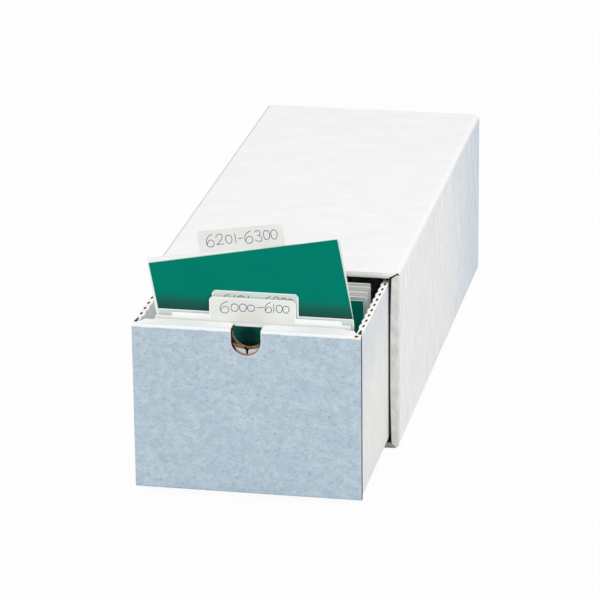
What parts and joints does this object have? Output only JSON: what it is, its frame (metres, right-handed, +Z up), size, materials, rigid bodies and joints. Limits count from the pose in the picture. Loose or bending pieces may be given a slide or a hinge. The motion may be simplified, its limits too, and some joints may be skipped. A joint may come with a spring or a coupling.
{
  "type": "index card drawer",
  "caption": "White corrugated card-file drawer pulled part way out of its sleeve, with a thumb notch and tabbed card guides; it slides shut.",
  "frame": {"origin": "middle of the sleeve's underside", "axes": "+Z up, -Y the way the drawer opens, +Y towards the sleeve's closed back"},
  "size_m": [0.195, 0.562, 0.2195],
  "materials": {
    "sleeve_board": "white-lined corrugated board, matte",
    "drawer_board": "white-lined corrugated board, matte",
    "guide_stock": "cream pressboard, matte",
    "green_stock": "green card, matte",
    "white_stock": "white index card, matte"
  },
  "bodies": {
    "sleeve_body": {"sleeve": "sleeve_board", "lining_left": "sleeve_board", "lining_right": "sleeve_board", "back_flap_left": "sleeve_board", "back_flap_right": "sleeve_board", "back_lower": "sleeve_board", "back_upper": "sleeve_board"},
    "drawer": {"trough": "drawer_board", "front_panel": "drawer_board", "front_flap_left": "drawer_board", "front_flap_right": "drawer_board", "rollover": "drawer_board", "back_panel": "drawer_board", "tray_flap_left": "drawer_board", "tray_flap_right": "drawer_board", "rear_green_card": "green_stock", "rear_divider_1": "guide_stock", "rear_divider_2": "guide_stock", "rear_divider_3": "guide_stock", "rear_divider_4": "guide_stock", "rear_cards_1": "white_stock", "rear_cards_2": "white_stock", "rear_cards_3": "white_stock"},
    "front_guide": {"guide_1": "guide_stock", "front_green_card": "green_stock", "front_white_cards": "white_stock"},
    "second_guide": {"guide_2": "guide_stock"},
    "raised_card": {"raised_green_card": "green_stock"},
    "raised_tab_guide": {"raised_guide": "guide_stock"}
  },
  "joints": [
    {"name": "drawer_slide", "type": "slide", "parent": "sleeve_body", "child": "drawer", "axis": [0, -1, 0], "range_m": [-0.122, 0.05]},
    {"name": "guide_1_lift", "type": "slide", "parent": "drawer", "child": "front_guide", "axis": [0, 0, 1], "range_m": [-0.0366, 0.015]},
    {"name": "guide_2_lift", "type": "slide", "parent": "drawer", "child": "second_guide", "axis": [0, 0, 1], "range_m": [-0.0366, 0.015]},
    {"name": "raised_card_lift", "type": "slide", "parent": "drawer", "child": "raised_card", "axis": [0, 0, 1], "range_m": [-0.08296, 0.034]},
    {"name": "raised_guide_tilt", "type": "hinge", "parent": "raised_card", "child": "raised_tab_guide", "pos_m": [-0.0665, -0.3258, 0.1125], "axis": [0, -1, 0], "range_deg": [-6.99, 2.87]}
  ],
  "couplings": [
    {"joint": "guide_1_lift", "follows": "drawer_slide", "ratio": 0.3},
    {"joint": "guide_2_lift", "follows": "drawer_slide", "ratio": 0.3},
    {"joint": "raised_card_lift", "follows": "drawer_slide", "ratio": 0.68},
    {"joint": "raised_guide_tilt", "follows": "drawer_slide", "rad_per_m": 1}
  ]
}
